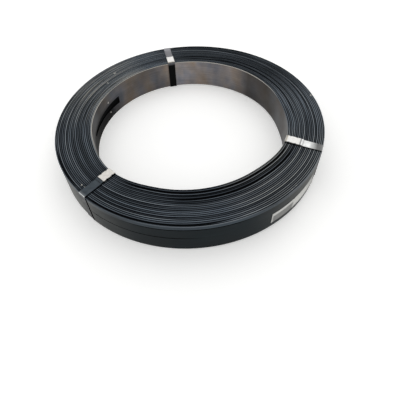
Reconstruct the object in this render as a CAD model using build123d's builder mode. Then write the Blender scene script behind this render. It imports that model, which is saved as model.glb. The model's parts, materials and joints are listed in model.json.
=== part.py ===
from build123d import *
from math import degrees, sqrt
import os

# A flat roll of heavy steel strapping, bound by three narrow steel ties.
# The roll lies on its side. +Z is the bore's axis, and Z = 0 is the floor under the ties.

# Strapping and winding
strap_width = 50.8
strap_thickness = 1.27
turn_count = 46
bore_diameter = 304.8
turn_lift = 1.5

# The turns stand in bands, inside to outside: how many turns wide each is, and how far it rises.
# A strap that stands proud on the upper end is as far up on the lower end.
band_shares = (2, 4, 5, 5, 4, 6, 5, 6, 6, 3)
lift_shares = (0.6, 0.0, 1.0, 0.15, 0.6, 0.9, 0.5, 0.85, 0.4, 0.7)

# Tapered slot in the strap's inner end, one turn deep, seen on the wall of the bore
slot_length = 98.0
slot_height = 14.0
slot_tip_height = 6.0
slot_drop = 4.5
slot_angle = 161.5

# Ties: narrow strap drawn tight round the roll's section, its ends lapped in a seal
tie_width = 12.7
tie_thickness = 0.5
tie_clearance = 0.1
tie_bend_share = 3.0
lap_gap = 0.05
ramp_length = 6.0
ramp_radius = 4.0
tail_length = 4.0
tie_angles = {"back": 98.0, "left": 225.0, "right": 332.0}

# Seals: folded sleeves, notched twice on each side
seal_length = 20.0
seal_gauge = 0.6
seal_clearance = 0.05
seal_setback = 0.6
seal_leg_gap = 2.0
notch_depth = 2.0
notch_pitch = 9.0

# Blank paper label on the outer turn
label_length = 97.0
label_height = 20.0
label_thickness = 0.2
label_clearance = 0.05
label_rise = 10.0
label_corner = 1.5
label_angle = -49.2

# Sizes that follow
bore_radius = bore_diameter / 2
coil_radius = bore_radius + turn_count * strap_thickness
coil_floor = tie_thickness + tie_clearance
coil_top = coil_floor + strap_width + turn_lift * max(lift_shares)

seal_inner = bore_radius + seal_setback
seal_outer = seal_inner + seal_length
seal_floor = coil_top + tie_clearance
lap_floor = seal_floor + seal_gauge + seal_clearance
lap_height = 2 * tie_thickness + lap_gap
seal_height = 2 * (seal_gauge + seal_clearance) + lap_height
seal_half_width = tie_width / 2 + seal_clearance + seal_gauge


def coil_profile():
    """Corners of the wound section, up the steps of its upper end and back along the lower."""
    upper = []
    lower = []
    inner = bore_radius
    for band, lift in zip(band_shares, lift_shares):
        outer = inner + (coil_radius - bore_radius) * band / sum(band_shares)
        floor = coil_floor + turn_lift * lift
        lower += [(inner, floor), (outer, floor)]
        upper += [(inner, floor + strap_width), (outer, floor + strap_width)]
        inner = outer
    return lower + upper[::-1]


def tie_route():
    """Middle line of a tie: from its lower lap out, round the section, and back over the lap."""
    half = tie_thickness / 2
    bore_side = sqrt(bore_radius**2 - (tie_width / 2) ** 2) - tie_clearance - half
    outer_side = coil_radius + tie_clearance + half
    lower_lap = lap_floor + half
    upper_lap = lap_floor + lap_height - half
    ramp_start = seal_outer + seal_clearance
    return [
        (seal_inner, lower_lap),
        (ramp_start, lower_lap),
        (ramp_start + ramp_length, seal_floor + half),
        (outer_side, seal_floor + half),
        (outer_side, half),
        (bore_side, half),
        (bore_side, upper_lap),
        (seal_outer + tail_length, upper_lap),
    ]


def cut_notches():
    """V notches in both edges of a seal and of the strap in it."""
    middle = (seal_inner + seal_outer) / 2
    with BuildSketch(Plane.XY.offset(seal_floor)) as notches:
        with Locations((middle, 0)):
            with GridLocations(notch_pitch, 2 * seal_half_width, 2, 2):
                RegularPolygon(notch_depth, side_count=4)
    extrude(notches.sketch, amount=seal_height, mode=Mode.SUBTRACT)


# What the slot takes away, at angle 0: a wedge as deep as one turn
with BuildPart() as slot_cut:
    slot_middle = coil_floor + turn_lift * lift_shares[0] + strap_width / 2 - slot_drop
    with BuildSketch(Plane.YZ):
        with Locations((0, slot_middle)):
            Polygon(
                (-slot_length / 2, -slot_height / 2),
                (slot_length / 2, -slot_tip_height / 2),
                (slot_length / 2, slot_tip_height / 2),
                (-slot_length / 2, slot_height / 2),
                align=None,
            )
    extrude(amount=coil_radius)
    with BuildSketch():
        Circle(bore_radius + strap_thickness)
    extrude(amount=coil_top, mode=Mode.INTERSECT)

# Wound strap, one turned solid with its bore
with BuildPart() as strap_coil:
    with BuildSketch(Plane.XZ):
        with BuildLine():
            Polyline(*coil_profile(), close=True)
        make_face()
    revolve(axis=Axis.Z)
    add(slot_cut.part, rotation=(0, 0, slot_angle), mode=Mode.SUBTRACT)

# A tie at angle 0, its ribbon section swept by the strap's width
with BuildPart() as tie:
    bend = tie_bend_share * tie_clearance + tie_thickness / 2
    with BuildSketch(Plane.XZ):
        with BuildLine():
            FilletPolyline(*tie_route(), radius=[ramp_radius, ramp_radius, bend, bend, bend, bend])
        trace(line_width=tie_thickness)
    extrude(amount=tie_width / 2, both=True)
    cut_notches()

# The seal at angle 0, with its two legs folded under the strap
with BuildPart() as seal:
    seal_middle = seal_floor + seal_height / 2
    with BuildSketch(Plane.YZ.offset(seal_inner)):
        with Locations((0, seal_middle)):
            RectangleRounded(2 * seal_half_width, seal_height, seal_gauge)
            Rectangle(
                tie_width + 2 * seal_clearance,
                lap_height + 2 * seal_clearance,
                mode=Mode.SUBTRACT,
            )
        with Locations((0, seal_floor + seal_gauge / 2)):
            Rectangle(seal_leg_gap, seal_gauge, mode=Mode.SUBTRACT)
    extrude(amount=seal_length)
    cut_notches()

# Label, curved to the outer turn
with BuildPart() as label:
    label_radius = coil_radius + label_clearance
    label_arc = degrees(label_length / label_radius)
    with BuildSketch(Plane.XZ):
        with Locations((label_radius, coil_floor + label_rise)):
            Rectangle(label_thickness, label_height, align=(Align.MIN, Align.MIN))
    revolve(axis=Axis.Z, revolution_arc=label_arc)
    fillet(label.edges().filter_by(lambda edge: abs(edge.length - label_thickness) < label_clearance), label_corner)

os.makedirs("parts", exist_ok=True)

strap_coil.part.label = "strap_coil"
export_step(strap_coil.part, "parts/strap_coil.step")

for place, angle in tie_angles.items():
    with BuildPart() as placed_tie:
        add(tie.part, rotation=(0, 0, angle))
    placed_tie.part.label = f"tie_{place}"
    export_step(placed_tie.part, f"parts/tie_{place}.step")

    with BuildPart() as placed_seal:
        add(seal.part, rotation=(0, 0, angle))
    placed_seal.part.label = f"seal_{place}"
    export_step(placed_seal.part, f"parts/seal_{place}.step")

with BuildPart() as placed_label:
    add(label.part, rotation=(0, 0, label_angle - label_arc / 2))
placed_label.part.label = "label"
export_step(placed_label.part, "parts/label.step")
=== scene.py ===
import json
import math

import bmesh
import bpy
from mathutils import Matrix, Vector, noise


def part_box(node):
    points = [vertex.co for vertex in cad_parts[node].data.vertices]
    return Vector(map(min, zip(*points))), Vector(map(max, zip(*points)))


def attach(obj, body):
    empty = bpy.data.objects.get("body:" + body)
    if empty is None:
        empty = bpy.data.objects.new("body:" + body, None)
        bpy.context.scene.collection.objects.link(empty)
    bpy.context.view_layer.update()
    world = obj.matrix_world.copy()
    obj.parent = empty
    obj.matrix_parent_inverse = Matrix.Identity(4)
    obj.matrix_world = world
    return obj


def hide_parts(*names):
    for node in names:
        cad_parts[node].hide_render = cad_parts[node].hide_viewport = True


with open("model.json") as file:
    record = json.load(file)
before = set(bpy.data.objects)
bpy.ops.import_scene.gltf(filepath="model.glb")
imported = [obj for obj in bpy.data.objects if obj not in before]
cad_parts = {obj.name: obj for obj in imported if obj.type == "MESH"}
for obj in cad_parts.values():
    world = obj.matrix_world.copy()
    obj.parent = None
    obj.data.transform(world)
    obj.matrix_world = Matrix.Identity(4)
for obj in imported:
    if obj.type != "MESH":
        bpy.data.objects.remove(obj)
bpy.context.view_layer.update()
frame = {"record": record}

bl_info = {
    "name": "Roll of Steel Strapping",
    "version": (1, 0, 0),
    "blender": (4, 5, 0),
    "location": "3D View > Sidebar > Strapping",
    "description": "Winds a flat roll of heavy steel strapping and binds it with sealed ties",
    "category": "Add Mesh",
}

MM = 0.001

# Places read from the frame, in metres
coil_low, coil_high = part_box("strap_coil")
bore_mount = next(m for m in frame["record"]["mounts"] if m["name"] == "coil_bore")
BORE_RADIUS = bore_mount["dims"]["r_mm"] * MM
STRAP_WIDTH = bore_mount["dims"]["length_mm"] * MM
COIL_RADIUS = coil_high.x
COIL_FLOOR = coil_low.z
COIL_TOP = coil_high.z
LIFT = COIL_TOP - COIL_FLOOR - STRAP_WIDTH
SEAL_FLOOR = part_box("seal_back")[0].z
SEAL_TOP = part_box("seal_back")[1].z
LABEL_LOW, LABEL_HIGH = (corner.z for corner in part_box("label"))

# The strap is wound clockwise, seen from above, from its inner end to its outer end
INNER_END = math.radians(99)
STEPS_PER_TURN = 180
OUTER_END_STEP = 116

# Where the three ties and the label stand round the roll
TIE_ANGLES = {"back": math.radians(98), "left": math.radians(225), "right": math.radians(332)}
LABEL_MIDDLE = math.radians(-49.2)

# Gaps between a tie and the roll, and inside a seal, and how far a seal stands back from the bore
TIE_GAP = 0.1 * MM
SEAL_GAP = 0.05 * MM
SEAL_SETBACK = 0.6 * MM


def linear(code):
    """An sRGB hex value as linear red, green and blue."""
    parts = [int(code[i : i + 2], 16) / 255 for i in (1, 3, 5)]
    return tuple(p / 12.92 if p <= 0.04045 else ((p + 0.055) / 1.055) ** 2.4 for p in parts)


def tint(name, description, code):
    return bpy.props.FloatVectorProperty(
        name=name, description=description, subtype="COLOR", size=3, min=0, max=1, default=linear(code)
    )


def measure(name, description, millimetres):
    return bpy.props.FloatProperty(
        name=name,
        description=description,
        subtype="DISTANCE",
        unit="LENGTH",
        precision=5,
        default=millimetres * MM,
    )


class CoilSettings(bpy.types.PropertyGroup):
    strap_thickness: measure("Strap thickness", "Thickness of the wound strap", 1.22)
    edge_round: measure("Edge round", "How far each edge of the strap is rounded", 0.26)
    turn_count: bpy.props.IntProperty(
        name="Turns", description="Turns begun, from the bore to the outer end", default=45, min=4, max=60
    )
    edge_colour: tint("Proud edge", "Paint on the edges that stand proud", "#59636d")
    # Dust on the edges, with painted sheen
    dust_and_sheen_colour: tint("Dusty edge", "Proud edges where dust lies on them", "#b3b2ab")
    # A painted highlight, with rubbing, on the edges that stand proudest
    highlight_and_polish_colour: tint("Rubbed edge", "Edges that stand proudest, rubbed grey", "#8b9094")
    # Low edges painted near black, as shade between the turns
    groove_shade_colour: tint("Low edge", "Paint on the edges that lie low", "#030405")
    # Pale steel in chips and dents, and a painted highlight along the bore's rim
    rim_colour: tint("Bare steel", "Steel rubbed bare on the rim and in chips", "#cbc8c0")
    face_colour: tint("Outer face", "Paint on the outer turn", "#0a1114")
    bore_colour: tint("Bore wall", "Waxed steel on the inner turn", "#7b7573")
    bronze_colour: tint("Bore bronze", "Heat-tinted patches on the bore wall", "#83725f")
    blue_colour: tint("Bore blue", "Blued patches on the bore wall", "#686b74")


class TieSettings(bpy.types.PropertyGroup):
    tie_width: measure("Tie width", "Width of the narrow tie", 12.7)
    tie_thickness: measure("Tie thickness", "Thickness of the tie", 0.5)
    bend_radius: measure("Bend radius", "Radius of the tie's bends at the roll's corners", 0.85)
    back_colour: tint("Back tie", "Steel of the back tie", "#626265")
    left_colour: tint("Left tie", "Steel of the left tie", "#3b4146")
    right_colour: tint("Right tie", "Zinc of the right tie", "#cccdcc")
    # Painted highlight on the ties' outer bends
    bend_highlight_colour: tint("Scuffed bend", "Bare steel where a bend is rubbed", "#c4c6c6")
    # Painted shade on the ties' runs down the bore and in the seals' mouths
    painted_shade_colour: tint("Waxed run", "Black wax on the runs down the bore", "#050506")


class SealSettings(bpy.types.PropertyGroup):
    seal_length: measure("Seal length", "Length of the folded sleeve", 20.0)
    seal_gauge: measure("Seal gauge", "Thickness of the sleeve's sheet", 0.6)
    notch_depth: measure("Notch depth", "How deep each crimp is pressed in", 1.4)
    notch_pitch: measure("Notch pitch", "Distance between the two crimps", 9.0)
    bright_colour: tint("Bright zinc", "Zinc of the back and right seals", "#d4d3d0")
    dull_colour: tint("Dull zinc", "Weathered zinc of the left seal", "#c4c1bc")
    stain_colour: tint("Stained end", "Stain on the seals' ends by the bore", "#7d7462")


class LabelSettings(bpy.types.PropertyGroup):
    label_length: measure("Label length", "Length of the label round the roll", 97.0)
    label_thickness: measure("Label thickness", "Thickness of the paper", 0.2)
    paper_colour: tint("Paper", "Colour of the blank paper", "#dcdcd8")
    block_colour: tint("Block", "Colour of the blank block", "#8f8f8d")


class StageSettings(bpy.types.PropertyGroup):
    floor_colour: tint("Floor", "Colour of the pale floor", "#f7f7f6")
    floor_radius: measure("Floor radius", "Radius of the floor", 12000.0)
    sky_strength: bpy.props.FloatProperty(
        name="Sky", description="Strength of the soft light from all round", default=0.7, min=0
    )


def smooth(x):
    """Rises gently from nought to one."""
    x = min(max(x, 0.0), 1.0)
    return x * x * (3 - 2 * x)


def pitch_of(settings):
    """How much further out each turn lies than the one before."""
    turns = settings.turn_count - 1 + OUTER_END_STEP / STEPS_PER_TURN
    return (COIL_RADIUS - BORE_RADIUS - settings.strap_thickness) / turns


def part_turn(azimuth):
    """The share of a turn wound when the strap reaches an azimuth."""
    return ((INNER_END - azimuth) / math.tau) % 1.0


# Two ties pull the turns beside them outwards: azimuth, pull at the bore wall, and reach
PULLS = (
    (TIE_ANGLES["left"], 4.2 * MM, math.radians(28)),
    (TIE_ANGLES["right"], 5.5 * MM, math.radians(32)),
)


def pull_at(azimuth):
    """How far the bore wall is pulled outwards at an azimuth."""
    pull = 0.0
    for middle, most, reach in PULLS:
        off = math.remainder(azimuth - middle, math.tau)
        if abs(off) < reach:
            pull += most * (1 + math.cos(math.pi * off / reach)) / 2
    return pull


def wound_radii(settings, azimuth):
    """Radius of the bore wall and of the outer face of the wound strap at an azimuth."""
    part = part_turn(azimuth)
    turns = settings.turn_count - 1 + part
    if part > OUTER_END_STEP / STEPS_PER_TURN:
        turns -= 1
    pitch = pitch_of(settings)
    bore = BORE_RADIUS + pitch * part + pull_at(azimuth)
    return bore, BORE_RADIUS + pitch * turns + settings.strap_thickness


# Every second turn lies low, which draws the fine rings coarser than they are, so that they show.
# Lifts are in mm, and each is reached within a hundredth of a turn.
TURN_LIFTS = (0.05, 1.35)
LIFT_SLOPE = 0.01

# The strap wanders within each turn and again over about three turns: cycles per turn, place in
# the noise and height in mm
WANDERS = ((1.9, 0.4, 7.7, 0.35), (0.31, 3.1, 0.0, 0.25))

# Turns that stand proud or lie low against the others: first and last turn, the azimuths in degrees
# between which they do, going clockwise, and their rise in mm
STRETCHES = (
    (0, 0, 62, 4, 0.5), (5, 5, 20, -6, 0.9), (8, 8, 96, 50, -0.8),
    (11, 11, 96, 60, 0.9), (14, 14, 96, 56, -0.8), (10, 10, 76, -16, -0.6),
    (13, 13, 66, 16, 0.9), (16, 16, 72, 32, -0.8), (19, 19, 62, 38, 0.8),
    (27, 27, 16, -8, 0.7), (28, 28, 60, 20, -0.6), (30, 30, 30, -10, -0.6),
    (3, 3, 150, 104, -0.5), (5, 5, 176, 126, -0.6), (7, 7, 200, 146, -0.6),
    (8, 8, 158, 120, 1), (11, 11, 184, 150, -0.5), (13, 13, 124, 98, -0.5),
    (25, 25, 166, 134, -0.6), (32, 32, 142, 104, 0.8), (41, 41, 228, 190, -1.2),
    (42, 42, 290, 215, -1.3), (43, 44, 278, 215, 0.5), (36, 36, 266, 215, 0.4),
    (34, 34, 275, 215, -0.5), (26, 26, 272, 215, -0.45), (22, 22, 268, 215, -0.5),
    (0, 0, 338, 222, -0.5), (4, 4, 338, 228, -1), (8, 8, 338, 222, -0.6),
    (12, 12, 338, 252, -1), (18, 18, 338, 256, -0.5), (1, 17, 338, 250, -0.2),
)


def strap_lift(turns):
    """How far the strap stands above its lowest place after this many turns, in metres."""
    # Each turn takes its next lift under the left tie
    since_tie = turns - part_turn(TIE_ANGLES["left"])
    turn = math.floor(since_tie)
    before, after = (TURN_LIFTS[each % len(TURN_LIFTS)] for each in (turn - 1, turn))
    lift = before + (after - before) * smooth((since_tie - turn) / LIFT_SLOPE)
    for cycles, y, z, height in WANDERS:
        lift += height * noise.noise(Vector((turns * cycles, y, z)))
    for first, last, start, end, rise in STRETCHES:
        since_start = turns - part_turn(math.radians(start))
        turn = math.floor(since_start)
        if first <= turn <= last:
            length = (start - end) / 360
            part = since_start - turn
            slope = min(0.05, 0.35 * length)
            lift += rise * smooth(part / slope) * smooth((length - part) / slope)
    return min(max(lift, 0.0), LIFT / MM) * MM


# The tapered slot in the inner end: its steps along the first turn and its heights at both ends
SLOT_TIP_STEP = 139
SLOT_END_STEP = 158
SLOT_MIDDLE = COIL_FLOOR + 0.6 * LIFT + STRAP_WIDTH / 2 - 4.5 * MM
SLOT_TIP_HEIGHT = 6 * MM
SLOT_END_HEIGHT = 14 * MM


def slot_reach(step):
    """Half the slot's height at a step of the first turn."""
    share = (step - SLOT_TIP_STEP) / (SLOT_END_STEP - SLOT_TIP_STEP)
    share = min(max(share, 0.0), 1.0)
    return (SLOT_TIP_HEIGHT + (SLOT_END_HEIGHT - SLOT_TIP_HEIGHT) * share) / 2


def empty_tree(owner):
    """Gives a material or a world a node tree with nothing in it."""
    owner.use_nodes = True
    owner.node_tree.nodes.clear()
    return owner.node_tree


def node(tree, kind, inputs=(), output=0, **settings):
    """Adds one shader node with its settings and its inputs, by name or in order, each a constant
    or another node's output, and gives one of its own outputs."""
    new = tree.nodes.new("ShaderNode" + kind)
    for name, value in settings.items():
        setattr(new, name, value)
    for name, value in inputs.items() if isinstance(inputs, dict) else enumerate(inputs):
        socket = new.inputs[name]
        if isinstance(value, bpy.types.NodeSocket):
            tree.links.new(value, socket)
        else:
            socket.default_value = (*value, 1.0) if socket.type == "RGBA" else value
    return new.outputs[output] if new.outputs else new


def new_material(name):
    """Starts a material, and gives it with its node tree and its Object coordinates."""
    material = bpy.data.materials.new(name)
    tree = empty_tree(material)
    return material, tree, node(tree, "TexCoord", output="Object")


def finished(material, inputs):
    """Closes a material with its shader and output."""
    tree = material.node_tree
    node(tree, "OutputMaterial", {"Surface": node(tree, "BsdfPrincipled", inputs)})
    return material


# In the next three, a span is the range that the last value is mapped from, and the one that it
# is mapped to, where that isn't nought to one


def faded(tree, value, by, *span):
    """A value multiplied by another one."""
    if span:
        by = node(tree, "MapRange", (by, *span))
    return node(tree, "Math", (value, by), operation="MULTIPLY")


def toned(tree, colour, tone, *span):
    """A colour multiplied by a grey tone."""
    if span:
        tone = node(tree, "MapRange", (tone, *span))
    inputs = {"Factor": 1.0, "A": colour, "B": tone}
    return node(tree, "Mix", inputs, "Result", data_type="RGBA", blend_type="MULTIPLY")


def covered(tree, colour, cover, share, *span):
    """A colour with a share of another laid over it."""
    if span:
        share = node(tree, "MapRange", (share, *span))
    inputs = {"Factor": share, "A": colour, "B": cover}
    return node(tree, "Mix", inputs, "Result", data_type="RGBA")


def unrolled(tree, place):
    """Height on the strap, and its place as if it were laid out flat."""
    along = node(tree, "Attribute", output="Fac", attribute_name="along")
    height = node(tree, "SeparateXYZ", (place,), "Z")
    return height, node(tree, "CombineXYZ", (along, height))


def drawn_out(tree, sheet, cycles, detail):
    """Noise with its own cycles per metre along the strap and up it."""
    place = node(tree, "Mapping", {"Vector": sheet, "Scale": (*cycles, 1)})
    return node(tree, "TexNoise", {"Vector": place, "Scale": 1, "Detail": detail})


def off_axis(tree, place):
    """A place's offset from the bore's axis."""
    return node(tree, "VectorMath", (place, (1, 1, 0)), operation="MULTIPLY")


def out_along(tree, place, azimuth):
    """How far a place lies out along an azimuth."""
    direction = (math.cos(azimuth), math.sin(azimuth), 0)
    return node(tree, "VectorMath", (place, direction), "Value", operation="DOT_PRODUCT")


def toward(tree, place, degrees, low, high):
    """A mask that grows round the roll towards an azimuth, from one cosine to another."""
    unit = node(tree, "VectorMath", (off_axis(tree, place),), operation="NORMALIZE")
    return node(tree, "MapRange", (out_along(tree, unit, math.radians(degrees)), low, high))


# Where the painted shadow beside a tie begins and is full, from the tie's middle
SHADOW_START = 6.2 * MM
SHADOW_FULL = 6.6 * MM


def clear_of_tie_shadows(tree, place, reach):
    """Nought in the strips along the left and right ties where their shadow is painted black, else one."""
    clear = 1.0
    for azimuth, side in ((TIE_ANGLES["left"], 1), (TIE_ANGLES["right"], -1)):
        across = out_along(tree, place, azimuth + side * math.pi / 2)
        strip = node(tree, "MapRange", (across, SHADOW_START, SHADOW_FULL))
        strip = faded(tree, strip, across, reach, reach - MM)
        strip = faded(tree, strip, out_along(tree, place, azimuth), 0, BORE_RADIUS)
        clear = faded(tree, clear, strip, 0, 1, 1, 0)
    return clear


def spotted(tree, place, spots):
    """A mask of small round marks: azimuth in degrees, radius, height and size in mm."""
    total = 0.0
    for azimuth, radius, height, size in spots:
        angle = math.radians(azimuth)
        middle = (radius * MM * math.cos(angle), radius * MM * math.sin(angle), height * MM)
        off = node(tree, "VectorMath", (place, middle), "Value", operation="DISTANCE")
        mark = node(tree, "MapRange", (off, size * MM, 0.6 * size * MM))
        total = node(tree, "Math", (total, mark), operation="MAXIMUM")
    return total


# Chips and scuffs on the turns' upper edges, as spotted takes them
EDGE_CHIPS = (
    (134, 185, 52.6, 2.8),
    (143.5, 172, 52.6, 2.2),
    (6.3, 207.5, 52.6, 2.6),
    (221, 200.2, 52.6, 1.6),
    (222.6, 198.8, 52.6, 1.3),
    (307, 206.5, 52.6, 1.4),
    (309.5, 206.4, 52.6, 1.2),
)

# Two dents beside the slot
BORE_DENTS = ((154.0, 152.6, 35.0, 2.4), (153.6, 152.6, 12.9, 2.2))

# Where painted sheen lightens the turns' edges and painted shade darkens them, by where they face the
# light: the azimuth in degrees, the
# # cosines and the radii in mm between which this grows, and the tone it gives them
SHEEN_AND_SHADE = (
    (58, 0.55, 0.9, 0, 1, 0.42),
    (248, 0.55, 0.9, 0, 1, 0.75),
    (258, 0.7, 0.95, 176, 166, 0.62),
    (270, 0.92, 0.98, 182, 194, 1.45),
    (322, 0.85, 0.95, 184, 194, 0.75),
    (145, 0.85, 0.96, 180, 166, 1.3),
    (178, 0.9, 0.97, 166, 172, 0.8),
    (78, 0.85, 0.95, 194, 203, 0.6),
    (130, 0.8, 0.95, 194, 203, 0.75),
)


def edge_material(settings):
    """Slit edges of cold-rolled strap under black paint and wax: blue-black satin, a painted grey
    highlight with rubbing where a turn stands proud, painted dead black shade between the turns, warmer
    where dust and painted sheen lie on them."""
    material, tree, place = new_material("painted_slit_edge")
    along = node(tree, "Attribute", output="Fac", attribute_name="along")
    height = node(tree, "SeparateXYZ", (place,), "Z")
    middle = COIL_FLOOR + (LIFT + STRAP_WIDTH) / 2
    above = node(tree, "Math", (height, middle), operation="SUBTRACT")
    away = node(tree, "Math", (above,), operation="ABSOLUTE")
    # An edge is proud from half a strap's width off the middle; low edges are painted near black as shade
    # between the turns
    flush = STRAP_WIDTH / 2
    proud = node(tree, "MapRange", (away, flush - 0.5 * MM, flush + 0.55 * MM))
    # The paint film changes tone over about 0.25 m of strap, so turns side by side differ, and
    # again over about four turns, which draws broader bands
    film, bands = (
        node(tree, "TexNoise", {"W": along, "Scale": scale, "Detail": detail}, noise_dimensions="1D")
        for scale, detail in ((4, 3), (0.22, 2))
    )
    # Handling dulls patches about 60 mm across, dust lies in clouds about 120 mm across, chips have
    # grains about 1 mm across, and the slitting knife's burrs are drawn about 1 mm apart, coarser
    # than they are, so that they show
    patches, dust, grains, burrs = (
        node(tree, "TexNoise", {"Vector": place, "Scale": scale, "Detail": detail})
        for scale, detail in ((16, 4), (8, 3), (900, 2), (1000, 1))
    )
    shade_and_wear = faded(tree, proud, film, 0.3, 0.7, 0.5, 1.3)
    shade_and_wear = faded(tree, shade_and_wear, bands, 0.32, 0.68, 0.5, 1.35)
    shade_and_wear = faded(tree, shade_and_wear, patches, 0.3, 0.75, 0.85, 1.2)
    # Painted shadow of the left and right ties on the turns beside them
    shade_and_wear = faded(tree, shade_and_wear, clear_of_tie_shadows(tree, place, 8.6 * MM))
    radius = node(tree, "VectorMath", (off_axis(tree, place),), "Value", operation="LENGTH")
    # Painted sheen and shade round the roll
    for azimuth, low, high, near, far, tone in SHEEN_AND_SHADE:
        part = faded(tree, toward(tree, place, azimuth, low, high), radius, near * MM, far * MM)
        shade_and_wear = faded(tree, shade_and_wear, part, 0, 1, 1, tone)
    tone = node(tree, "Clamp", (shade_and_wear,))
    # Dust and painted sheen lie at the back left and, thinner, at the front right
    front = node(tree, "MapRange", (toward(tree, place, 312, 0.85, 0.98), 0, 1, 0, 0.6))
    dust_and_sheen = node(tree, "Math", (toward(tree, place, 150, 0.82, 0.97), front), operation="MAXIMUM")
    dust_and_sheen = faded(tree, dust_and_sheen, dust, 0.3, 0.55)
    dust_and_sheen = faded(tree, dust_and_sheen, film, 0.38, 0.62, 0.35, 1)
    dust_and_sheen = faded(tree, dust_and_sheen, bands, 0.42, 0.58, 0.15, 1)
    rubbed = covered(tree, settings.edge_colour, settings.dust_and_sheen_colour, dust_and_sheen)
    # Low edges take painted shade, proud ones the edge colour
    colour = covered(tree, settings.groove_shade_colour, rubbed, tone)
    # A painted highlight, with rubbing, on the edges that stand proudest
    highlight_and_polish = node(tree, "MapRange", (away, flush + 0.58 * MM, flush + 0.74 * MM))
    highlight_and_polish = faded(tree, highlight_and_polish, shade_and_wear, 0.4, 1, 0, 0.65)
    colour = covered(tree, colour, settings.highlight_and_polish_colour, highlight_and_polish)
    # A painted highlight runs along the first turn's top edge at the back and both sides of the bore
    first_turn = math.tau * BORE_RADIUS + math.pi * pitch_of(settings)
    rim = node(tree, "MapRange", (along, first_turn, 0.999 * first_turn))
    rim = faded(tree, rim, toward(tree, place, 112, -0.25, 0.2))
    rim = faded(tree, rim, away, flush - 3 * MM, flush - 2 * MM)
    rim = faded(tree, rim, patches, 0.3, 0.5, 0.7, 1)
    colour = covered(tree, colour, settings.rim_colour, rim)
    chips = faded(tree, spotted(tree, place, EDGE_CHIPS), grains, 0.4, 0.5)
    inputs = {
        "Base Color": covered(tree, colour, settings.rim_colour, chips),
        "Roughness": node(tree, "MapRange", (patches, 0.3, 0.7, 0.3, 0.44)),
        "Specular IOR Level": node(tree, "MapRange", (tone, 0.1, 0.9, 0.01, 0.25)),
        "Normal": node(tree, "Bump", {"Height": burrs, "Strength": 0.15, "Distance": 0.05 * MM}),
    }
    return finished(material, inputs)


# Dark lines along the outer face: depth below the top edge in mm,
# # and the azimuth in degrees round which each shows
FACE_DARK_LINES = ((6.7, 268), (25.4, 247))
FACE_DARK_LINE_REACH = 0.7 * MM

# Dust and painted sheen on the outer face, beyond the left tie and, thinner, near the right one: azimuth
# and share
FACE_DUST_AND_SHEEN = ((206, 0.5), (331, 0.22))


def outer_face_material(settings):
    """Flat face of cold-rolled strap under black paint and wax: dark satin slate with fine drawn
    streaks along the strap, a paler rubbed upper edge, dust with painted sheen, painted shadows beside the
    ties and two dark lines."""
    material, tree, place = new_material("painted_strap_face")
    height, sheet = unrolled(tree, place)
    # Rolling streaks about 0.8 mm high and 60 mm long
    streaks = drawn_out(tree, sheet, (16, 1250), 2)
    # Handling marks about 70 mm across
    patches = node(tree, "TexNoise", {"Vector": place, "Scale": 14, "Detail": 5})
    pale = tuple(2.4 * part for part in settings.face_colour)
    colour = covered(tree, settings.face_colour, pale, faded(tree, streaks, patches), 0.12, 0.42)
    rubbed = node(tree, "MapRange", (height, COIL_TOP - 6.2 * MM, COIL_TOP - 5.2 * MM))
    rubbed = faded(tree, rubbed, patches, 0.3, 0.65, 0.15, 0.5)
    colour = covered(tree, colour, settings.edge_colour, rubbed)
    film = faded(tree, node(tree, "MapRange", (patches, 0.32, 0.62)), streaks, 0.3, 0.7, 0.6, 1)
    for azimuth, most in FACE_DUST_AND_SHEEN:
        dust_and_sheen = toward(tree, place, azimuth, 0.7, 1.0)
        dust_and_sheen = faded(tree, faded(tree, dust_and_sheen, dust_and_sheen), film)
        colour = covered(tree, colour, settings.dust_and_sheen_colour, dust_and_sheen, 0, 1, 0, most)
    # Painted shadow beside the left and right ties on the outer face
    clear = clear_of_tie_shadows(tree, place, 11.5 * MM)
    for depth, azimuth in FACE_DARK_LINES:
        mark = node(tree, "Math", (height, COIL_TOP - depth * MM, FACE_DARK_LINE_REACH), operation="COMPARE")
        mark = faded(tree, mark, toward(tree, place, azimuth, 0.9, 0.96))
        clear = faded(tree, clear, mark, 0, 1, 1, 0)
    inputs = {
        "Base Color": toned(tree, colour, clear),
        "Roughness": node(tree, "MapRange", (patches, 0.3, 0.7, 0.3, 0.46)),
        "Specular IOR Level": node(tree, "MapRange", (clear, 0, 1, 0, 0.05)),
        "Normal": node(tree, "Bump", {"Height": streaks, "Strength": 0.2, "Distance": 0.05 * MM}),
    }
    return finished(material, inputs)


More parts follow.
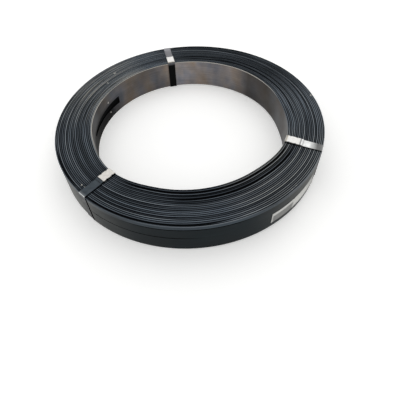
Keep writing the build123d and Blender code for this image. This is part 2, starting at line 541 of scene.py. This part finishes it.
def bore_material(settings):
    """Waxed bare steel with mill heat tint: brown-grey with blued and bronze clouds, fine rolling
    streaks and a soft gloss, painted light on the back wall and painted shade to both sides."""
    material, tree, place = new_material("waxed_steel_bore")
    height, sheet = unrolled(tree, place)
    # Heat clouds about 40 mm wide, drawn out up the wall
    clouds = drawn_out(tree, sheet, (26, 14), 4)
    colour = node(tree, "ValToRGB", {"Fac": clouds})
    stops = colour.node.color_ramp.elements
    stops[0].position, stops[0].color = 0.34, (*settings.blue_colour, 1.0)
    stops[1].position, stops[1].color = 0.7, (*settings.bronze_colour, 1.0)
    stops.new(0.5).color = (*settings.bore_colour, 1.0)
    # Rolling streaks about 1 mm high
    streaks = drawn_out(tree, sheet, (20, 1000), 3)
    colour = toned(tree, colour, streaks, 0.25, 0.75, 0.72, 1.2)
    # Painted light: the back wall is lit brightest, the wall to its left less, and the rest lies in
    # painted shade
    lit_back_wall = node(tree, "MapRange", (toward(tree, place, 75, 0.82, 0.94), 0, 1, 0.2, 1))
    left = node(tree, "MapRange", (toward(tree, place, 124, 0.6, 0.9), 0, 1, 0, 0.44))
    colour = toned(tree, colour, node(tree, "Math", (lit_back_wall, left), operation="ADD"))
    # Painted shade darkens the left wall, most of all low down
    shaded_low_left = faded(tree, toward(tree, place, 170, 0.84, 0.95), height, 36 * MM, 25 * MM)
    bright = node(tree, "MapRange", (shaded_low_left, 0, 1, 1, 0.14))
    bright = faded(tree, bright, toward(tree, place, 178, 0.86, 0.98), 0, 1, 1, 0.45)
    colour = toned(tree, colour, bright)
    # Blotches about 30 mm across, and the grain of a dent about 1.4 mm across
    blotches, grains = (
        node(tree, "TexNoise", {"Vector": place, "Scale": scale, "Detail": detail})
        for scale, detail in ((30, 3), (700, 1))
    )
    colour = toned(tree, colour, blotches, 0.3, 0.7, 0.7, 1.3)
    dents = faded(tree, spotted(tree, place, BORE_DENTS), grains, 0.42, 0.52)
    inputs = {
        "Base Color": covered(tree, colour, settings.rim_colour, dents),
        "Roughness": node(tree, "MapRange", (clouds, 0.3, 0.7, 0.3, 0.5)),
        "Specular IOR Level": node(tree, "MapRange", (bright, 0, 1, 0, 0.3)),
        "Metallic": node(tree, "MapRange", (bright, 0, 1, 0, 0.3)),
        "Normal": node(tree, "Bump", {"Height": streaks, "Strength": 0.25, "Distance": 0.04 * MM}),
    }
    return finished(material, inputs)


# A painted reflection tones a tie between these radii
REFLECTION_FROM = 192 * MM
REFLECTION_TO = 203 * MM


def tie_material(name, colour, settings, reflection_tone):
    """Narrow cold-rolled tie steel: half-bright metal with a mottled oil film, a painted highlight over
    its outer bends, a painted reflection tone near the rim, and painted black shade where it runs down the
    bore."""
    material, tree, place = new_material(name)
    rubbed, painted_shade = (
        node(tree, "Attribute", output="Fac", attribute_name=each) for each in ("rubbed", "painted_shade")
    )
    # Mottled oil film about 6 mm across
    film = node(tree, "TexNoise", {"Vector": place, "Scale": 160, "Detail": 4})
    base = toned(tree, colour, film, 0.3, 0.7, 0.75, 1.15)
    radius = node(tree, "VectorMath", (off_axis(tree, place),), "Value", operation="LENGTH")
    # Painted reflection, toned between these radii near the rim
    base = toned(tree, base, radius, REFLECTION_FROM, REFLECTION_TO, 1, reflection_tone)
    # Painted highlight over the outer bends
    base = covered(tree, base, settings.bend_highlight_colour, rubbed)
    # Painted shade is no metal, and hardly shines
    inputs = {
        "Base Color": covered(tree, base, settings.painted_shade_colour, painted_shade),
        "Roughness": node(tree, "MapRange", (film, 0.3, 0.7, 0.28, 0.42)),
        "Metallic": node(tree, "MapRange", (painted_shade, 0, 1, 1, 0)),
        "Specular IOR Level": node(tree, "MapRange", (painted_shade, 0, 1, 0.5, 0.05)),
    }
    return finished(material, inputs)


def seal_material(name, colour, stain):
    """Electroplated zinc on folded sheet: pale satin metal with cloudy dull spots, stained with
    old wax at the end by the bore."""
    material, tree, place = new_material(name)
    # Cloudy spots about 3 mm across
    spots = node(tree, "TexNoise", {"Vector": place, "Scale": 330, "Detail": 3})
    base = toned(tree, colour, spots, 0.3, 0.7, 0.82, 1.04)
    stained = node(tree, "Attribute", output="Fac", attribute_name="stained")
    base = covered(tree, base, stain, faded(tree, stained, spots, 0.35, 0.5, 0.5, 1))
    rough = node(tree, "MapRange", (spots, 0.3, 0.7, 0.34, 0.5))
    return finished(material, {"Base Color": base, "Roughness": rough, "Metallic": 1.0})


def paper_material(settings):
    """Blank uncoated label paper: matt off-white, with a plain greyer block at its left end, and
    darker towards its right end."""
    material, tree, place = new_material("blank_label_paper")
    spread = node(tree, "Attribute", output="Vector", attribute_name="label_place")
    across = node(tree, "SeparateXYZ", (spread,), "X")
    up = across.node.outputs["Y"]
    # Paper fibre and dust about 2 mm across
    fibre = node(tree, "TexNoise", {"Vector": place, "Scale": 500, "Detail": 4})
    block = faded(tree, node(tree, "MapRange", (across, 0.43, 0.39)), across, 0.01, 0.03)
    block = faded(tree, block, up, 0.76, 0.66)
    colour = covered(tree, settings.paper_colour, settings.block_colour, block)
    # Darker towards the right end
    colour = toned(tree, colour, across, 0.7, 1, 1, 0.66)
    inputs = {
        "Base Color": toned(tree, colour, fibre, 0.3, 0.7, 0.86, 1.04),
        "Roughness": 0.75,
        "Specular IOR Level": 0.3,
        "Normal": node(tree, "Bump", {"Height": fibre, "Strength": 0.2, "Distance": 0.05 * MM}),
    }
    return finished(material, inputs)


def place_piece(bm, name, materials, stands_for=None):
    """Makes the finished mesh an object at the origin, riding on the roll where it stands for one of the
    roll's parts.
    """
    for face in bm.faces:
        face.smooth = True
    mesh = bpy.data.meshes.new(name)
    bm.to_mesh(mesh)
    bm.free()
    for material in materials:
        mesh.materials.append(material)
    piece = bpy.data.objects.new(name, mesh)
    bpy.context.scene.collection.objects.link(piece)
    if stands_for:
        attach(piece, "root")
        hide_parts(stands_for)
    return piece


def everything(bm):
    return bm.verts[:] + bm.edges[:] + bm.faces[:]


def draw_out(bm, steps, geom=None, shift=(0, 0, 0), angle=0.0, axis=(0, 0, 1), around=(0, 0, 0)):
    """Draws a mesh, or a part of it, out in steps, by a shift at each or round an axis, and gives
    its last step."""
    drawn = bmesh.ops.spin(
        bm,
        geom=geom or everything(bm),
        cent=around,
        axis=axis,
        dvec=shift,
        angle=angle,
        steps=steps,
        use_merge=False,
        use_duplicate=False,
    )
    return drawn["geom_last"]


def turn_to(bm, azimuth):
    """Turns a mesh from the X axis to its azimuth."""
    bmesh.ops.rotate(bm, cent=(0, 0, 0), matrix=Matrix.Rotation(azimuth, 3, "Z"), verts=bm.verts[:])


def strap_section(bm, axis, size, middle):
    """A strap's rectangular section, a unit square turned about an axis."""
    turned = Matrix.Rotation(math.pi / 2, 4, axis)
    section = bmesh.ops.create_grid(bm, x_segments=1, y_segments=1, size=0.5, matrix=turned)["verts"]
    bmesh.ops.scale(bm, vec=size, verts=section)
    bmesh.ops.translate(bm, vec=middle, verts=section)
    return section


def clip_corners(bm, corners, size):
    """Cuts a section's corners off."""
    bmesh.ops.bevel(
        bm,
        geom=corners,
        offset=size,
        offset_type="OFFSET",
        affect="VERTICES",
        segments=1,
        profile=0.5,
        material=-1,
    )


def wind_turns(bm, settings):
    """Draws the strap's section at every turn once round the bore, without lift or growth."""
    turn_of = bm.verts.layers.int.new("turn")
    line_of = bm.verts.layers.int.new("slot_line")
    thickness = settings.strap_thickness
    middle = COIL_FLOOR + STRAP_WIDTH / 2
    for turn in range(settings.turn_count):
        radius = BORE_RADIUS + thickness / 2 + pitch_of(settings) * turn
        for v in strap_section(bm, "X", (thickness, 1, STRAP_WIDTH), (radius, 0, middle)):
            v[turn_of] = turn
    clip_corners(bm, bm.verts[:], settings.edge_round)
    bmesh.ops.delete(bm, geom=bm.faces[:], context="FACES_ONLY")
    # Two lines on each face of the first turn bound the slot
    sides = [e for e in bm.edges if e.verts[0][turn_of] == 0 and e.calc_length() > STRAP_WIDTH / 2]
    cut = bmesh.ops.subdivide_edges(bm, edges=sides, cuts=2)
    for v in cut["geom_inner"]:
        if isinstance(v, bmesh.types.BMVert):
            v[turn_of] = 0
            v[line_of] = 1 if v.co.z > middle else -1
    count = len(bm.verts)
    draw_out(bm, STEPS_PER_TURN, angle=-math.tau)
    step_of = bm.verts.layers.int.new("step")
    for i, v in enumerate(bm.verts):
        v[step_of] = i // count


def spiral(bm, settings):
    """Grows and lifts the turns so that each runs on into the next, and cuts off the spare end."""
    turn_of, step_of, line_of = (bm.verts.layers.int[name] for name in ("turn", "step", "slot_line"))
    along = bm.verts.layers.float.new("along")
    pitch = pitch_of(settings)
    last = settings.turn_count - 1 + OUTER_END_STEP / STEPS_PER_TURN
    steps = range(STEPS_PER_TURN + 1)
    pulls = [pull_at(INNER_END - math.tau * step / STEPS_PER_TURN) for step in steps]
    lifts = [
        [strap_lift(turn + step / STEPS_PER_TURN) for step in steps] for turn in range(settings.turn_count)
    ]
    spare = []
    for v in bm.verts:
        turn, step = v[turn_of], v[step_of]
        turns = turn + step / STEPS_PER_TURN
        v[along] = turns * math.tau * BORE_RADIUS + math.pi * pitch * turns * turns
        radius = math.hypot(v.co.x, v.co.y)
        wound = radius + pitch * step / STEPS_PER_TURN
        wound += pulls[step] * (COIL_RADIUS - wound) / (COIL_RADIUS - BORE_RADIUS)
        z = v.co.z + lifts[turn][step]
        if v[line_of]:
            z = SLOT_MIDDLE + v[line_of] * slot_reach(step)
        v.co = (v.co.x * wound / radius, v.co.y * wound / radius, z)
        if turns > last + 0.5 / STEPS_PER_TURN:
            spare.append(v)
    # Where the first turn meets the second, its slot lines run into the strap's corners
    seam = [v for v in bm.verts if v[turn_of] == 0 and v[step_of] == STEPS_PER_TURN]
    corners = [v for v in seam if not v[line_of]]
    for v in seam:
        if v[line_of]:
            same_side = [c for c in corners if v[line_of] * (c.co.z - v.co.z) > 0]
            v.co = min(same_side, key=lambda c: (c.co.xy - v.co.xy).length).co
    bmesh.ops.delete(bm, geom=spare, context="VERTS")


def open_slot(bm):
    """Opens the tapered slot through the first turn."""
    step_of = bm.verts.layers.int["step"]
    line_of = bm.verts.layers.int["slot_line"]
    inside = {v for v in bm.verts if v[line_of] and SLOT_TIP_STEP <= v[step_of] <= SLOT_END_STEP}
    window = [f for f in bm.faces if inside.issuperset(f.verts)]
    bmesh.ops.delete(bm, geom=window, context="FACES")
    rims = [e for e in bm.edges if e.is_boundary and inside.issuperset(e.verts)]
    bmesh.ops.bridge_loops(bm, edges=rims)


# The wound strap's materials, in order: its edges and hidden faces, its outer face and its bore
OUTER_FACE = 1
BORE_FACE = 2


def sort_faces(bm, settings):
    """Gives the outer face and the bore wall their materials, and keeps the strap's edges sharp."""
    pitch = pitch_of(settings)
    near = 0.4 * settings.strap_thickness
    for face in bm.faces:
        if abs(face.normal.z) > 0.3:
            continue
        centre = face.calc_center_median()
        radius = math.hypot(centre.x, centre.y)
        pull = pull_at(math.atan2(centre.y, centre.x))
        inward = face.normal.x * centre.x + face.normal.y * centre.y < 0
        if inward and radius < BORE_RADIUS + pull + pitch + near:
            face.material_index = BORE_FACE
        elif not inward and radius > COIL_RADIUS - pitch - near:
            face.material_index = OUTER_FACE
        for edge in face.edges:
            run = edge.verts[0].co - edge.verts[1].co
            if abs(run.z) < 0.5 * run.length:
                edge.smooth = False
    for edge in bm.edges:
        if edge.is_manifold and edge.calc_face_angle() > math.radians(60):
            edge.smooth = False


class STRAPPING_OT_wind_coil(bpy.types.Operator):
    """Wind the strap turn on turn from its slotted inner end to its outer end"""

    bl_idname = "strapping.wind_coil"
    bl_label = "Wind Coil"

    def execute(self, context):
        settings = context.scene.strapping_coil
        bm = bmesh.new()
        wind_turns(bm, settings)
        spiral(bm, settings)
        open_slot(bm)
        bmesh.ops.remove_doubles(bm, verts=bm.verts[:], dist=0.002 * MM)
        bmesh.ops.holes_fill(bm, edges=[e for e in bm.edges if e.is_boundary], sides=0)
        turn_to(bm, INNER_END)
        bmesh.ops.recalc_face_normals(bm, faces=bm.faces[:])
        sort_faces(bm, settings)
        materials = [edge_material(settings), outer_face_material(settings), bore_material(settings)]
        place_piece(bm, "wound_strap", materials, "strap_coil")
        return {"FINISHED"}


def draw_along(bm, corners, radii, run_steps, bend_steps=6):
    """Draws a mesh along a route of straight runs and rounded corners."""
    geom = None
    at = corners[0]
    last = len(corners) - 1
    for i in range(1, last + 1):
        heading = (corners[i] - corners[i - 1]).normalized()
        reach = 0.0
        if i < last:
            onward = (corners[i + 1] - corners[i]).normalized()
            turn = heading.angle(onward)
            reach = radii[i - 1] * math.tan(turn / 2)
        stop = corners[i] - heading * reach
        steps = run_steps[i - 1]
        geom = draw_out(bm, steps, geom, shift=(stop - at) / steps)
        at = stop
        if i < last:
            axis = heading.cross(onward).normalized()
            around = at + axis.cross(heading) * radii[i - 1]
            geom = draw_out(bm, bend_steps, geom, angle=turn, axis=axis, around=around)
            at = corners[i] + onward * reach


def seal_start(azimuth):
    """How far from the bore's axis a seal starts."""
    return BORE_RADIUS + pull_at(azimuth) + SEAL_SETBACK


def crimp(v, seal, seal_inner, half_width, height):
    """Presses a point near the edge of a sealed lap inwards at the two crimps."""
    if abs(v.co.z - height) > 3 * MM or abs(v.co.y) < 0.5 * half_width:
        return
    middle = seal_inner + seal.seal_length / 2
    for side in (-1, 1):
        off = abs(v.co.x - middle - side * seal.notch_pitch / 2)
        if off < seal.notch_depth:
            v.co.y -= math.copysign(seal.notch_depth - off, v.co.y)


# The tie's lower lap runs down a ramp beyond the seal, and its upper lap ends in a short tail
RAMP_GAP = 0.5 * MM
RAMP_LENGTH = 6 * MM
RAMP_RADIUS = 4 * MM
TAIL_LENGTH = 4 * MM
TIE_EDGE_ROUND = 0.14 * MM
TIE_RIPPLE = 0.35 * MM


class STRAPPING_OT_bend_ties(bpy.types.Operator):
    """Bend the three narrow ties round the roll, with their ends lapped for the seals"""

    bl_idname = "strapping.bend_ties"
    bl_label = "Bend Ties"

    def execute(self, context):
        settings = context.scene.strapping_ties
        seal = context.scene.strapping_seals
        width = settings.tie_width
        thickness = settings.tie_thickness
        half = thickness / 2
        # Each tie's finish, its colour, the tone of its painted reflection near the rim and its slot
        finishes = {
            "back": ("half_bright_tie_steel", settings.back_colour, 1.5, "tie_steel"),
            "left": ("blued_tie_steel", settings.left_colour, 1.0, "tie_steel"),
            "right": ("zinc_plated_tie_steel", settings.right_colour, 0.18, "seal_steel"),
        }
        for place, azimuth in TIE_ANGLES.items():
            bore, outer = wound_radii(context.scene.strapping_coil, azimuth)
            seal_inner = seal_start(azimuth)
            seal_outer = seal_inner + seal.seal_length
            bore_side = math.sqrt(bore**2 - (width / 2) ** 2) - TIE_GAP - half
            outer_side = outer + TIE_GAP + half
            lower_lap = SEAL_FLOOR + seal.seal_gauge + SEAL_GAP + half
            upper_lap = lower_lap + thickness + SEAL_GAP
            ramp_start = seal_outer + RAMP_GAP
            top = SEAL_FLOOR + half
            corners = [
                Vector((x, 0, z))
                for x, z in (
                    (seal_inner, lower_lap),
                    (ramp_start, lower_lap),
                    (ramp_start + RAMP_LENGTH, top),
                    (outer_side, top),
                    (outer_side, half),
                    (bore_side, half),
                    (bore_side, upper_lap),
                    (seal_outer + TAIL_LENGTH, upper_lap),
                )
            ]
            radii = [RAMP_RADIUS] * 2 + [settings.bend_radius] * 4
            bm = bmesh.new()
            section = strap_section(bm, "Y", (1, width, thickness), corners[0])
            clip_corners(bm, section, TIE_EDGE_ROUND)
            # The lap has a step to each mm, so that the crimps have points to press in
            lap_steps = round(seal.seal_length / MM)
            steps = (lap_steps, 1, 8, 10, 8, 10, lap_steps + 4)
            draw_along(bm, corners, radii, steps)
            rubbed = bm.verts.layers.float.new("rubbed")
            painted_shade = bm.verts.layers.float.new("painted_shade")
            for v in bm.verts:
                # Painted highlight along the outer bends
                near = min((v.co.xz - corner.xz).length for corner in corners[3:5])
                v[rubbed] = 0.9 * math.exp(-((near / (0.65 * MM)) ** 2))
                # Painted shade lies black on the run down the bore in place of its dark reflection, less
                # on the
                # # outer run, and as a painted shadow in the seal's mouth
                low = (top - v.co.z) / MM
                v[painted_shade] = smooth((bore_side + 0.7 * MM - v.co.x) / (0.4 * MM)) * smooth(low)
                v[painted_shade] += 0.85 * smooth((v.co.x - outer_side + half) / half) * smooth(low - 1.5)
                v[painted_shade] += smooth(1 - abs(v.co.x - seal_outer - 0.8 * MM) / (0.9 * MM)) * smooth(-low)
                crimp(v, seal, seal_inner, width / 2, upper_lap)
                if v.co.z > top - MM and seal_outer + 8 * MM < v.co.x < outer_side - 2 * MM:
                    wave = noise.noise(Vector((v.co.x * 90, azimuth * 9, 0)))
                    v.co.z += max(0.0, TIE_RIPPLE * wave)
            bmesh.ops.recalc_face_normals(bm, faces=bm.faces[:])
            for edge in bm.edges:
                edge.smooth = edge.is_manifold and edge.calc_face_angle() < math.radians(35)
            turn_to(bm, azimuth)
            name, colour, reflection_tone, slot = finishes[place]
            finish = tie_material(name, colour, settings, reflection_tone)
            place_piece(bm, f"bent_tie_{place}", [finish], f"tie_{place}")
        return {"FINISHED"}


# Radius of a sleeve's folds, the gap between its legs, and how far old wax stains its end
FOLD_RADIUS = 0.5 * MM
LEG_GAP = 2 * MM
STAIN_LENGTH = 3.5 * MM


class STRAPPING_OT_fold_seals(bpy.types.Operator):
    """Fold the three sleeves over the lapped ties and press their crimps in"""

    bl_idname = "strapping.fold_seals"
    bl_label = "Fold Seals"

    def execute(self, context):
        settings = context.scene.strapping_seals
        half_tie = context.scene.strapping_ties.tie_width / 2
        gauge = settings.seal_gauge
        side = half_tie + SEAL_GAP + gauge / 2
        top = SEAL_TOP - gauge / 2
        bottom = SEAL_FLOOR + gauge / 2
        bright = seal_material("bright_zinc_seal", settings.bright_colour, settings.stain_colour)
        dull = seal_material("weathered_zinc_seal", settings.dull_colour, settings.dull_colour)
        finishes = {"back": bright, "left": dull, "right": bright}
        for place, azimuth in TIE_ANGLES.items():
            x = seal_start(azimuth)
            bm = bmesh.new()
            bm.verts.new((x, 0, top))
            steps = round(settings.seal_length / MM)
            draw_out(bm, steps, shift=(settings.seal_length / steps, 0, 0))
            # Half of the sleeve, from the middle of its back round to the end of one leg
            corners = ((0, top), (side, top), (side, bottom), (LEG_GAP / 2, bottom))
            route = [Vector((x, y, z)) for y, z in corners]
            draw_along(bm, route, (FOLD_RADIUS, FOLD_RADIUS), (4, 2, 4), bend_steps=4)
            bmesh.ops.mirror(bm, geom=everything(bm), axis="Y", merge_dist=0.01 * MM)
            stained = bm.verts.layers.float.new("stained")
            for v in bm.verts:
                v[stained] = smooth(1 - (v.co.x - x) / STAIN_LENGTH)
                crimp(v, settings, x, half_tie, (top + bottom) / 2)
            bmesh.ops.recalc_face_normals(bm, faces=bm.faces[:])
            bmesh.ops.solidify(bm, geom=bm.faces[:], thickness=gauge)
            turn_to(bm, azimuth)
            place_piece(bm, f"crimped_seal_{place}", [finishes[place]], f"seal_{place}")
        return {"FINISHED"}


# The label's steps up and round, and the heights in mm of its gap to the roll, of the crease at
# four tenths of its length, of the lower right corner's curl and of its ripples
LABEL_STEPS = (8, 64)
LABEL_GAP = 0.05
LABEL_CREASE = 0.35
LABEL_CURL = 1.1
LABEL_RIPPLE = 0.12


class STRAPPING_OT_stick_label(bpy.types.Operator):
    """Stick the blank label on the outer turn"""

    bl_idname = "strapping.stick_label"
    bl_label = "Stick Label"

    def execute(self, context):
        settings = context.scene.strapping_label
        arc = settings.label_length / COIL_RADIUS
        start = LABEL_MIDDLE - arc / 2
        height = LABEL_HIGH - LABEL_LOW
        bm = bmesh.new()
        place = bm.verts.layers.float_vector.new("label_place")
        bm.verts.new((COIL_RADIUS, 0, LABEL_LOW))
        steps_up, steps_round = LABEL_STEPS
        draw_out(bm, steps_up, shift=(0, 0, height / steps_up))
        draw_out(bm, steps_round, angle=arc)
        for v in bm.verts:
            angle = math.atan2(v.co.y, v.co.x)
            across = angle / arc
            up = (v.co.z - LABEL_LOW) / height
            v[place] = (across, up, 0)
            crease = LABEL_CREASE * math.exp(-(((across - 0.42) / 0.012) ** 2))
            curl = LABEL_CURL * smooth((across - 0.9) / 0.1) * smooth((0.6 - up) / 0.6)
            ripple = LABEL_RIPPLE * abs(noise.noise(Vector((across * 14, up * 2, 2.0))))
            outer = wound_radii(context.scene.strapping_coil, start + angle)[1]
            radius = outer + (LABEL_GAP + crease + curl + ripple) * MM
            v.co.x = radius * math.cos(angle)
            v.co.y = radius * math.sin(angle)
        bmesh.ops.recalc_face_normals(bm, faces=bm.faces[:])
        bmesh.ops.solidify(bm, geom=bm.faces[:], thickness=-settings.label_thickness)
        turn_to(bm, start)
        place_piece(bm, "paper_label", [paper_material(settings)], "label")
        return {"FINISHED"}


def seen_plainly(tree):
    """One for rays from the camera and for those that metal and glass send on, else nought."""
    path = node(tree, "LightPath").node.outputs
    seen = path["Is Camera Ray"]
    for other in ("Is Glossy Ray", "Is Transmission Ray"):
        seen = node(tree, "Math", (seen, path[other]), operation="MAXIMUM")
    return seen


# Square lamps that face the roll: name, place and size in metres, and power in watts
LAMPS = (
    ("key_back_right", (0.9, 1.9, 2.6), 5.6, 46),
    ("side_left", (-2.4, -0.7, 0.9), 1.2, 9),
)

# How much the floor glows for the camera
FLOOR_GLOW = 0.28

# The photo's camera, fitted to the roll's rims: place in metres, degrees that it looks down and
# rolls, focal length and sensor width in mm, and shift of the picture in shares of its width
CAMERA_PLACE = (-0.0082, -0.4345, 0.417)
CAMERA_DOWN = 46.0
CAMERA_ROLL = -4.42
CAMERA_LENS = 31.55
CAMERA_SENSOR = 36.0
CAMERA_SHIFT = (0.0372, -0.123)


def set_floor_and_sky(scene, settings):
    """Lays the floor and hangs the sky. Both look near white to the eye, with the roll's shadow,
    and light the roll no more for it."""
    bm = bmesh.new()
    bmesh.ops.create_circle(bm, cap_ends=True, segments=96, radius=settings.floor_radius)
    material = bpy.data.materials.new("matt_pale_floor")
    tree = empty_tree(material)
    inputs = {
        "Base Color": settings.floor_colour,
        "Emission Color": settings.floor_colour,
        "Emission Strength": node(tree, "MapRange", (seen_plainly(tree), 0, 1, 0, FLOOR_GLOW)),
        "Roughness": 0.8,
        "Specular IOR Level": 0.1,
    }
    place_piece(bm, "floor", [finished(material, inputs)])

    world = bpy.data.worlds.new("studio")
    scene.world = world
    tree = empty_tree(world)
    strength = node(tree, "MapRange", (seen_plainly(tree), 0, 1, settings.sky_strength, 1))
    sky = node(tree, "Background", {"Color": linear("#ffffff"), "Strength": strength})
    node(tree, "OutputWorld", {"Surface": sky})


def hang_lamps(scene):
    for name, place, size, power in LAMPS:
        light = bpy.data.lights.new(name, "AREA")
        light.shape = "SQUARE"
        light.size = size
        light.energy = power
        lamp = bpy.data.objects.new(name, light)
        scene.collection.objects.link(lamp)
        lamp.location = place
        lamp.rotation_euler = (-Vector(place)).to_track_quat("-Z", "Y").to_euler()


def set_camera(scene):
    data = bpy.data.cameras.new("camera")
    data.sensor_width = CAMERA_SENSOR
    data.lens = CAMERA_LENS
    data.shift_x, data.shift_y = CAMERA_SHIFT
    camera = bpy.data.objects.new("camera", data)
    scene.collection.objects.link(camera)
    scene.camera = camera
    down = math.radians(CAMERA_DOWN)
    roll = math.radians(CAMERA_ROLL)
    forward = Vector((0, math.cos(down), -math.sin(down)))
    level = Vector((1, 0, 0))
    upward = level.cross(forward)
    right = math.cos(roll) * level + math.sin(roll) * upward
    up = -math.sin(roll) * level + math.cos(roll) * upward
    turned = Matrix((right, up, -forward)).transposed()
    camera.matrix_world = Matrix.Translation(CAMERA_PLACE) @ turned.to_4x4()


class STRAPPING_OT_set_stage(bpy.types.Operator):
    """Set out the pale floor, the soft light and the camera"""

    bl_idname = "strapping.set_stage"
    bl_label = "Set Stage"

    def execute(self, context):
        scene = context.scene
        set_floor_and_sky(scene, scene.strapping_stage)
        hang_lamps(scene)
        set_camera(scene)
        scene.view_settings.view_transform = "Standard"
        return {"FINISHED"}


class VIEW3D_PT_strapping(bpy.types.Panel):
    bl_label = "Steel Strapping"
    bl_space_type = "VIEW_3D"
    bl_region_type = "UI"
    bl_category = "Strapping"

    def draw(self, context):
        for operator, name, group in STEPS:
            box = self.layout.box()
            settings = getattr(context.scene, name)
            for each in group.__annotations__:
                box.prop(settings, each)
            box.operator(operator)


# Each operator with the name and the class of its settings, in the order of making
STEPS = (
    ("strapping.wind_coil", "strapping_coil", CoilSettings),
    ("strapping.bend_ties", "strapping_ties", TieSettings),
    ("strapping.fold_seals", "strapping_seals", SealSettings),
    ("strapping.stick_label", "strapping_label", LabelSettings),
    ("strapping.set_stage", "strapping_stage", StageSettings),
)
CLASSES = (
    *(group for _, _, group in STEPS),
    STRAPPING_OT_wind_coil,
    STRAPPING_OT_bend_ties,
    STRAPPING_OT_fold_seals,
    STRAPPING_OT_stick_label,
    STRAPPING_OT_set_stage,
    VIEW3D_PT_strapping,
)


def register():
    for each in CLASSES:
        bpy.utils.register_class(each)
    for _, name, group in STEPS:
        setattr(bpy.types.Scene, name, bpy.props.PointerProperty(type=group))


def unregister():
    for _, name, _ in reversed(STEPS):
        delattr(bpy.types.Scene, name)
    for each in reversed(CLASSES):
        bpy.utils.unregister_class(each)


def main():
    register()
    bpy.ops.strapping.wind_coil()
    bpy.ops.strapping.bend_ties()
    bpy.ops.strapping.fold_seals()
    bpy.ops.strapping.stick_label()
    bpy.ops.strapping.set_stage()


if __name__ == "__main__":
    main()
